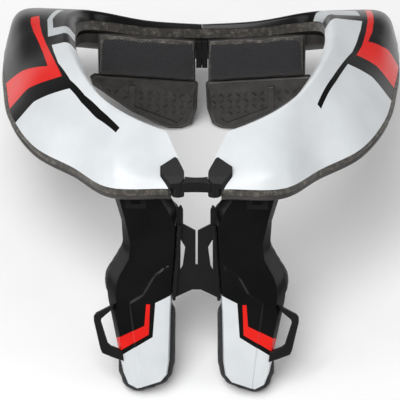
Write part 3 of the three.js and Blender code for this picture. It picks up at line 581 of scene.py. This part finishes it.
def cutAlong(form, outline, reach):
    # splits the faces near each side of the outline with an upright plane through it
    for (ax, ay), (bx, by) in zip(outline, outline[1:] + outline[:1]):
        lowX, highX = min(ax, bx) - reach, max(ax, bx) + reach
        lowY, highY = min(ay, by) - reach, max(ay, by) + reach
        near = []
        for face in form.faces:
            xs = [vert.co.x for vert in face.verts]
            ys = [vert.co.y for vert in face.verts]
            if max(xs) > lowX and min(xs) < highX and max(ys) > lowY and min(ys) < highY:
                near.append(face)
        edges = {edge for face in near for edge in face.edges}
        verts = {vert for face in near for vert in face.verts}
        bmesh.ops.bisect_plane(
            form, geom=[*near, *edges, *verts], dist=cutting["onPlane"],
            plane_co=(ax, ay, 0), plane_no=(by - ay, ax - bx, 0),
        )


def printBands(piece, layers, side):
    form = bmesh.new()
    form.from_mesh(piece.data)
    outlines = [[(side * x, y) for x, y in outline] for _, outline in layers]
    for outline in outlines:
        cutAlong(form, outline, cutting["near"])
    bmesh.ops.dissolve_degenerate(form, edges=form.edges, dist=cutting["side"])
    for face in form.faces:
        spot = face.calc_center_median()
        face.material_index = 0
        for i, outline in enumerate(outlines):
            if inside(outline, spot.x, spot.y):
                face.material_index = i + 1
    form.to_mesh(piece.data)
    form.free()


def dress(piece, materials, sharp=32):
    # only fills the slots, because the bands have already chosen theirs
    while len(piece.data.materials) < len(materials):
        piece.data.materials.append(None)
    for i, material in enumerate(materials):
        piece.data.materials[i] = material
    piece.data.shade_smooth()
    piece.data.set_sharp_from_angle(angle=math.radians(sharp))


def dropSlivers(piece):
    # the cuts leave a few spare faces where others already meet, thinner than a hair
    form = bmesh.new()
    form.from_mesh(piece.data)
    bmesh.ops.remove_doubles(form, verts=form.verts, dist=cutting["merge"])
    bmesh.ops.triangulate(form, faces=form.faces)
    crowded = [edge for edge in form.edges if len(edge.link_faces) > 2]
    around = {face for edge in crowded for face in edge.link_faces}
    slivers = [face for face in around if face.calc_area() < cutting["area"]]
    bmesh.ops.delete(form, geom=slivers, context="FACES")
    form.to_mesh(piece.data)
    form.free()


def intoScene(piece):
    # the mesh moves from the brace's frame and millimetres into the scene, in metres
    dropSlivers(piece)
    piece.data.transform(toScene @ Matrix.Scale(millimetre, 4))
    piece.data.update()


def makeCollar(label, side):
    shell = newObject(f"collar_shell_{label}", loftMesh("shell", shellSection, side))
    cutWingEnd(shell, side)
    printBands(shell, bands[label], side)
    dress(shell, [whiteShell] + [material for material, _ in bands[label]])
    intoScene(shell)
    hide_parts(f"shell_{label}")
    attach(shell, f"{label}_half")
    layer = newObject(f"collar_foam_{label}", loftMesh("foam", foamSection, side))
    cutWingEnd(layer, side)
    dress(layer, [foam], sharp=40)
    intoScene(layer)
    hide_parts(f"foam_{label}")
    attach(layer, f"{label}_half")
    under = newObject(f"collar_tray_{label}", loftMesh("tray", traySection, side))
    cutWingEnd(under, side)
    dress(under, [tray], sharp=40)
    intoScene(under)
    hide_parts(f"base_{label}")
    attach(under, f"{label}_half")


for label, side in (("left", -1), ("right", 1)):
    makeCollar(label, side)

# Legs
print("legs")
roundingSteps = 3
leg = {
    "lean": 10, "back": 112, "top": -10, "reach": 62, "length": 140, "depth": 6, "bevel": 8,
    "edgeHeight": 1.6, "facetRise": 0.9, "facetSlope": 1.4, "panelFall": 0.08,
    "edgeRounding": 0.9, "edgeAngle": 22, "trimAcross": 90, "trimRear": 170, "trimAhead": 60,
    "trimTop": 60, "stationAbove": 2,
}
# out and down along the leg, the share of bevel that the face stands in from the edge
legOutline = [
    (0.945, -0.12, 0.4), (0.9, 0.035, 0.4), (0.83, 0.14, 0.35), (0.815, 0.25, 0.65),
    (0.86, 0.31, 0.95), (0.965, 0.4, 0.9), (0.998, 0.455, 0.85), (0.985, 0.53, 0.7),
    (0.865, 0.81, 0.25), (0.822, 0.91, 0.15), (0.765, 0.975, 0.15), (0.66, 1.0, 0.15),
    (0.39, 0.96, 0.15), (0.325, 0.925, 0.15), (0.3, 0.855, 0.12), (0.286, 0.605, 0.1),
    (0.28, 0.555, 0.1), (0.24, 0.335, 0.1), (0.215, 0.165, 0.15), (0.22, 0.075, 0.75),
    (0.3, 0.015, 0.8), (0.42, -0.12, 0.8),
]
# the raised panel at the leg's lower end, out and down in millimetres, as the bands are
legFacet = [
    (2, 50), (21, 51), (29.3, 57.3), (36.9, 70.8), (46.9, 77.2), (43.1, 107), (40.4, 131.7),
    (39.5, 150), (2, 150),
]
# the narrow strip where the raised panel folds back towards the middle
legCrease = [(20.9, 40), (24.3, 40), (24.3, 160), (20.9, 160)]
legBands = [
    (whiteShell, [
        (0, 61), (18.2, 72), (28.2, 77), (30, 101.3), (48.7, 113), (76, 130.5), (76, 160), (0, 160),
    ]),
    (redShell, [
        (34.5, 78), (35.7, 93.3), (51.4, 101.1), (70, 110.4), (70, 122), (49.5, 109.7),
        (32.7, 99.6), (31.8, 78),
    ]),
]
legToBrace = (
    Matrix.Translation((0, -leg["back"], leg["top"]))
    @ Matrix.Rotation(-math.radians(90 + leg["lean"]), 4, "X")
)


def grown(points, distances):
    # each corner moved outward by its own distance
    area = sum(ax * by - bx * ay for (ax, ay), (bx, by) in zip(points, points[1:] + points[:1]))
    turn = 1 if area > 0 else -1
    moved = []
    for i, (x, y) in enumerate(points):
        fromX, fromY = points[i - 1]
        toX, toY = points[(i + 1) % len(points)]
        before = Vector((y - fromY, fromX - x)).normalized()
        after = Vector((toY - y, x - toX)).normalized()
        miter = (before + after) / (1 + max(before.dot(after), -0.5))
        moved.append((x + miter.x * turn * distances[i], y + miter.y * turn * distances[i]))
    return moved


def onOutline(outline, spot):
    for (ax, ay), (bx, by) in zip(outline, outline[1:] + outline[:1]):
        run = Vector((bx - ax, by - ay))
        way = Vector((spot.x - ax, spot.y - ay))
        share = max(0, min(1, way.dot(run) / run.length_squared))
        if (way - run * share).length < cutting["touch"]:
            return True
    return False


def underTray():
    # the tray's underside over the legs
    section = sectionAt(leg["stationAbove"] / (len(stations) - 1))
    return min(point[1] for point in traySection(section)) - collar["seatGap"]


def makeLegShell(label, side):
    edge = [(out * leg["reach"], down * leg["length"]) for out, down, _ in legOutline]
    face = grown(edge, [-share * leg["bevel"] for _, _, share in legOutline])
    form = bmesh.new()
    levels = [
        [form.verts.new((side * x, y, z)) for x, y in points]
        for points, z in ((face, 0.0), (edge, leg["depth"] - leg["edgeHeight"]), (edge, leg["depth"]))
    ]
    for near, far in zip(levels, levels[1:]):
        for i in range(len(near)):
            j = (i + 1) % len(near)
            form.faces.new((near[i], near[j], far[j], far[i]))
    form.faces.new(levels[0])
    form.faces.new(list(reversed(levels[-1])))
    bmesh.ops.recalc_face_normals(form, faces=form.faces)
    mesh = bpy.data.meshes.new("leg")
    form.to_mesh(mesh)
    form.free()
    piece = newObject(f"leg_cover_{label}", mesh)
    # the raised panel: cut along its outline and along one inside it, then the inner part is lifted
    form = bmesh.new()
    form.from_mesh(piece.data)
    facet = [(side * x, y) for x, y in legFacet]
    inner = [(side * x, y) for x, y in grown(legFacet, [-leg["facetSlope"]] * len(legFacet))]
    for outline in (facet, inner, [(side * x, y) for x, y in legCrease]):
        cutAlong(form, outline, cutting["whole"])
    for vert in form.verts:
        within = inside(inner, vert.co.x, vert.co.y) or onOutline(inner, vert.co)
        if vert.co.z < leg["depth"] / 2 and within:
            out = abs(vert.co.x)
            fall = max(0, legCrease[1][0] - out) + max(0, legCrease[0][0] - out)
            vert.co.z -= leg["facetRise"] - fall * leg["panelFall"]
    form.to_mesh(piece.data)
    form.free()
    printBands(piece, legBands, side)
    materials = [blackShell] + [material for material, _ in legBands]
    dress(piece, materials, sharp=20)
    bevel = piece.modifiers.new("edges", "BEVEL")
    bevel.width = leg["edgeRounding"]
    bevel.segments = roundingSteps
    bevel.limit_method = "ANGLE"
    bevel.angle_limit = math.radians(leg["edgeAngle"])
    applied(piece)
    across, rear, ahead = leg["trimAcross"], -leg["trimRear"], -leg["trimAhead"]
    above = [(-across, rear), (across, rear), (across, ahead), (-across, ahead)]
    piece.data.transform(legToBrace)
    piece.data.update()
    cutWith(piece, prism("cutter", above, underTray(), leg["trimTop"]))
    dress(piece, materials, sharp=24)
    intoScene(piece)
    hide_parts(f"leg_shell_{label}")
    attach(piece, f"{label}_half")


for label, side in (("left", -1), ("right", 1)):
    makeLegShell(label, side)

# Soft pads: each is its solid a little smaller, remeshed, swollen as cloth and then capped
print("pads")
pads = {
    "fabric_pad": {"voxel": 3.0, "shrink": 0.6, "cap": 1.9, "fill": 0.9, "clothDepth": 3.7},
    "leg_pad": {
        "voxel": 3.0, "shrink": -0.3, "cap": 0.8, "fill": 1.0,
        "tuck": 2.6, "tuckDepth": 10.2, "tuckRun": 1.5, "tuckOut": 24, "fadeOut": 4,
        "tuckDown": (6, 81), "fadeDown": 8,
    },
}
swelling = {"pressure": 4, "quality": 4, "frames": 16}
weldReach = 1e-5  # metres
backTurn = -0.8  # faces turned from the pad's broad front by more than this are its back


def solidCopy(name, node):
    source = frame["nodes"][node]
    mesh = source.data.copy()
    mesh.transform(source.matrix_world)
    return newObject(name, mesh)


def ease(value):
    value = max(0.0, min(1.0, value))
    return value * value * (3 - 2 * value)


def tuckBehindWeb(piece, sizes):
    # the cushion bulges towards the middle behind the web, so that no daylight shows between them
    toLeg = (toScene @ Matrix.Scale(millimetre, 4) @ legToBrace).inverted()
    start, end = sizes["tuckDown"]
    for vert in piece.data.vertices:
        spot = toLeg @ vert.co
        inward = ease((sizes["tuckOut"] - abs(spot.x)) / sizes["fadeOut"])
        inward *= ease((spot.z - sizes["tuckDepth"]) / sizes["tuckRun"])
        inward *= ease((spot.y - start) / sizes["fadeDown"]) * ease((end - spot.y) / sizes["fadeDown"])
        vert.co.x -= math.copysign(sizes["tuck"] * millimetre * inward, spot.x)


def bareSides(piece, depth):
    # the cloth covers the broad face as far as depth, and the foam under it shows at the narrow sides
    faces = piece.data.polygons
    broad = sum((face.normal * face.area for face in faces if face.normal.y < 0), Vector()).normalized()
    front = max(face.center.dot(broad) for face in faces)
    for face in faces:
        away = face.normal.dot(broad) < backTurn
        face.material_index = 0 if away or front - face.center.dot(broad) <= depth else 1


def makePad(name, label):
    sizes = pads[name]
    piece = solidCopy(f"soft_{name}_{label}", f"{name}_{label}")
    weld = piece.modifiers.new("weld", "WELD")
    weld.merge_threshold = weldReach
    remesh = piece.modifiers.new("remesh", "REMESH")
    remesh.mode = "VOXEL"
    remesh.voxel_size = sizes["voxel"] * millimetre
    applied(piece)
    mesh = piece.data
    normals = [vert.normal.copy() for vert in mesh.vertices]
    for vert, normal in zip(mesh.vertices, normals):
        vert.co -= normal * sizes["shrink"] * millimetre
    rest = [vert.co.copy() for vert in mesh.vertices]
    cloth = piece.modifiers.new("cloth", "CLOTH")
    settings = cloth.settings
    settings.use_pressure = True
    settings.uniform_pressure_force = swelling["pressure"]
    settings.effector_weights.gravity = 0
    settings.quality = swelling["quality"]
    cloth.point_cache.frame_start = 1
    cloth.point_cache.frame_end = swelling["frames"]
    for step in range(1, swelling["frames"] + 1):
        bpy.context.scene.frame_set(step)
    applied(piece)
    bpy.context.scene.frame_set(1)
    cap = sizes["cap"] * millimetre
    for vert, start in zip(piece.data.vertices, rest):
        way = vert.co - start
        if way.length > cap:
            vert.co = start + way * (cap / way.length)
    smooth = piece.modifiers.new("round", "SUBSURF")
    smooth.levels = 1
    smooth.render_levels = 1
    applied(piece)
    if "tuck" in sizes:
        tuckBehindWeb(piece, sizes)
    dress(piece, [fabric, foam], sharp=60)
    if "clothDepth" in sizes:
        bareSides(piece, sizes["clothDepth"] * millimetre)
    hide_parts(f"{name}_{label}")
    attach(piece, f"{label}_half")


for label in ("left", "right"):
    for name in pads:
        makePad(name, label)

# The chest pads and the hard parts keep their solids and get rounded edges of these sizes
print("chest pads and hard parts")
edges = {
    "chest_pad": 0.8, "link_paw": 0.7, "strap_loop": 0.5, "leg_lock": 0.25, "front_plate": 0.5,
    "closure": 0.5,
}
centreEdges = {"link_bar": 0.6, "web": 0.4}
pawMerge = 0.08
# Grip ticks stand in rows on the chest pads' raised faces
chest = {
    "reach": 97.5, "height": 38, "top": 38.5, "yaw": 10, "frontLean": 2, "roll": 7, "lean": 13,
    "start": 2.9, "width": 84, "tall": 41, "face": -4.8, "rowsDown": 1.1,
    "tickLength": 4.6, "tickWidth": 1.1, "tickRise": 1.0, "tickTop": 0.6, "tickRoot": 0.2,
    "tickAcross": 6.4, "tickDown": 5.6,
}
# where the grip ticks may stand on each pad's raised face, and the ribs they keep off
chestField = [
    (0.075, 0.25), (0.85, 0.25), (0.84, 0.29), (0.58, 0.67), (0.34, 0.9), (0.25, 0.96), (0.17, 0.94),
    (0.11, 0.86), (0.075, 0.57),
]
chestRibs = [
    [(0.565, 0.1), (0.67, 0.1), (0.67, 0.62), (0.565, 0.62)],
    [(0.65, 0.5), (0.65, 0.66), (0.19, 1.02), (0.15, 0.85)],
]
shear = Matrix.Identity(4)
shear[2][0] = math.tan(math.radians(chest["roll"]))
chestToBrace = (
    Matrix.Translation((0, chest["reach"], chest["height"]))
    @ Matrix.Rotation(-math.radians(chest["yaw"]), 4, "Z")
    @ Matrix.Rotation(math.radians(chest["frontLean"]), 4, "X")
    @ shear
    @ Matrix.Translation((0, 0, -chest["top"]))
    @ Matrix.Rotation(math.radians(chest["lean"]), 4, "X")
)


def chestPlace(share):
    return chest["start"] + share[0] * chest["width"], -share[1] * chest["tall"]


def addTick(form, middle, lean):
    run = Vector((lean, 0, 1)).normalized() * chest["tickLength"] / 2
    across = Vector((-lean, 0, 1)).normalized() * chest["tickWidth"] / 2
    foot = [middle + run + across, middle + run - across, middle - run - across, middle - run + across]
    rise, root = Vector((0, chest["tickRise"], 0)), Vector((0, chest["tickRoot"], 0))
    lower = [form.verts.new(spot + root) for spot in foot]
    upper = [form.verts.new(middle + (spot - middle) * chest["tickTop"] - rise) for spot in foot]
    form.faces.new(lower)
    form.faces.new(list(reversed(upper)))
    for j in range(4):
        k = (j + 1) % 4
        form.faces.new((lower[j], upper[j], upper[k], lower[k]))


def makeChestGrip(label, side):
    within = [chestPlace(share) for share in chestField]
    ribs = [[chestPlace(share) for share in rib] for rib in chestRibs]
    form = bmesh.new()
    columns = int(chest["width"] / chest["tickAcross"])
    rows = int(chest["rowsDown"] * chest["tall"] / chest["tickDown"])
    for column in range(1, columns + 1):
        for row in range(1, rows + 1):
            x, z = chest["start"] + column * chest["tickAcross"], -row * chest["tickDown"]
            if inside(within, x, z) and not any(inside(rib, x, z) for rib in ribs):
                addTick(form, Vector((x, chest["face"], z)), 1 if (column + row) % 2 else -1)
    bmesh.ops.recalc_face_normals(form, faces=form.faces)
    mesh = bpy.data.meshes.new("chest grip")
    form.to_mesh(mesh)
    form.free()
    mesh.transform(chestToBrace)
    mesh.transform(Matrix.Diagonal((side, 1, 1, 1)))
    if side < 0:
        mesh.flip_normals()
    piece = newObject(f"chest_grip_{label}", mesh)
    dress(piece, [rubber], sharp=25)
    intoScene(piece)
    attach(piece, f"{label}_half")


def finishNode(node, material, rounding, sharp=30, merge=None):
    # merge closes up a solid's short edges, so that they don't hold the rounding back
    piece = frame["nodes"][node]
    piece.data.materials.clear()
    piece.data.materials.append(material)
    weld = piece.modifiers.new("weld", "WELD")
    weld.merge_threshold = merge * millimetre if merge else weldReach
    bevel = piece.modifiers.new("edges", "BEVEL")
    bevel.width = rounding * millimetre
    bevel.segments = roundingSteps
    bevel.limit_method = "ANGLE"
    bevel.angle_limit = math.radians(sharp)
    if merge:
        tidy = piece.modifiers.new("tidy", "WELD")
        tidy.merge_threshold = weldReach


for label in ("left", "right"):
    for name, rounding in edges.items():
        material = {"chest_pad": rubber, "front_plate": tray}.get(name, nylon)
        merge = pawMerge if name == "link_paw" else None
        finishNode(f"{name}_{label}", material, rounding, merge=merge)
for label, side in (("left", -1), ("right", 1)):
    makeChestGrip(label, side)
for name, rounding in centreEdges.items():
    finishNode(name, nylon, rounding)

# Stage
print("stage")
stage = {"floor": "F8F8F8", "floorShade": "F6F6F6", "halfWidth": 6, "world": 0.27}
# places in metres, powers in watts
lights = {
    "key": {"spot": (-0.4, -0.7, 1.8), "aim": (0, 0, 0.08), "power": 31, "width": 1.3},
    "left side": {"spot": (-1.7, -0.6, 0.9), "aim": (0, 0, 0.05), "power": 5.5, "width": 1.0},
    "right side": {"spot": (1.7, -0.6, 0.9), "aim": (0, 0, 0.05), "power": 5.5, "width": 1.0},
    "back": {"spot": (0, 1.5, 1.0), "aim": (0, 0.05, 0.1), "power": 4, "width": 1.0},
}


def makeStage():
    form = bmesh.new()
    bmesh.ops.create_grid(form, x_segments=1, y_segments=1, size=stage["halfWidth"])
    mesh = bpy.data.meshes.new("floor")
    form.to_mesh(mesh)
    form.free()
    floor = newObject("floor", mesh)
    # Painted board: matt and almost even, so that only the soft shadows show on it
    material, tree, place = newMaterial("floor_painted_board")
    speck = addNode(tree, "ShaderNodeTexNoise", {
        "Vector": place, "Scale": scaleFor(40.0),
    }).outputs["Fac"]
    base = addNode(
        tree, "ShaderNodeValToRGB", {"Fac": speck},
        stops=[(0.3, stage["floorShade"]), (0.7, stage["floor"])],
    ).outputs["Color"]
    finishWith(tree, {"Base Color": base, "Roughness": 0.9}, speck, depth=0.01, strength=0.05)
    floor.data.materials.append(material)
    world = bpy.data.worlds.new("room")
    world.use_nodes = True
    light = world.node_tree.nodes["Background"]
    light.inputs["Color"].default_value = (1, 1, 1, 1)
    light.inputs["Strength"].default_value = stage["world"]
    bpy.context.scene.world = world


def makeLight(name, spot, aim, power, width):
    data = bpy.data.lights.new(name, "AREA")
    data.energy = power
    data.shape = "SQUARE"
    data.size = width
    light = bpy.data.objects.new(name, data)
    light.location = spot
    light.rotation_euler = (Vector(aim) - Vector(spot)).to_track_quat("-Z", "Y").to_euler()
    bpy.context.scene.collection.objects.link(light)


makeStage()
for name, light in lights.items():
    makeLight(name, **light)
bpy.context.scene.view_settings.view_transform = "Standard"
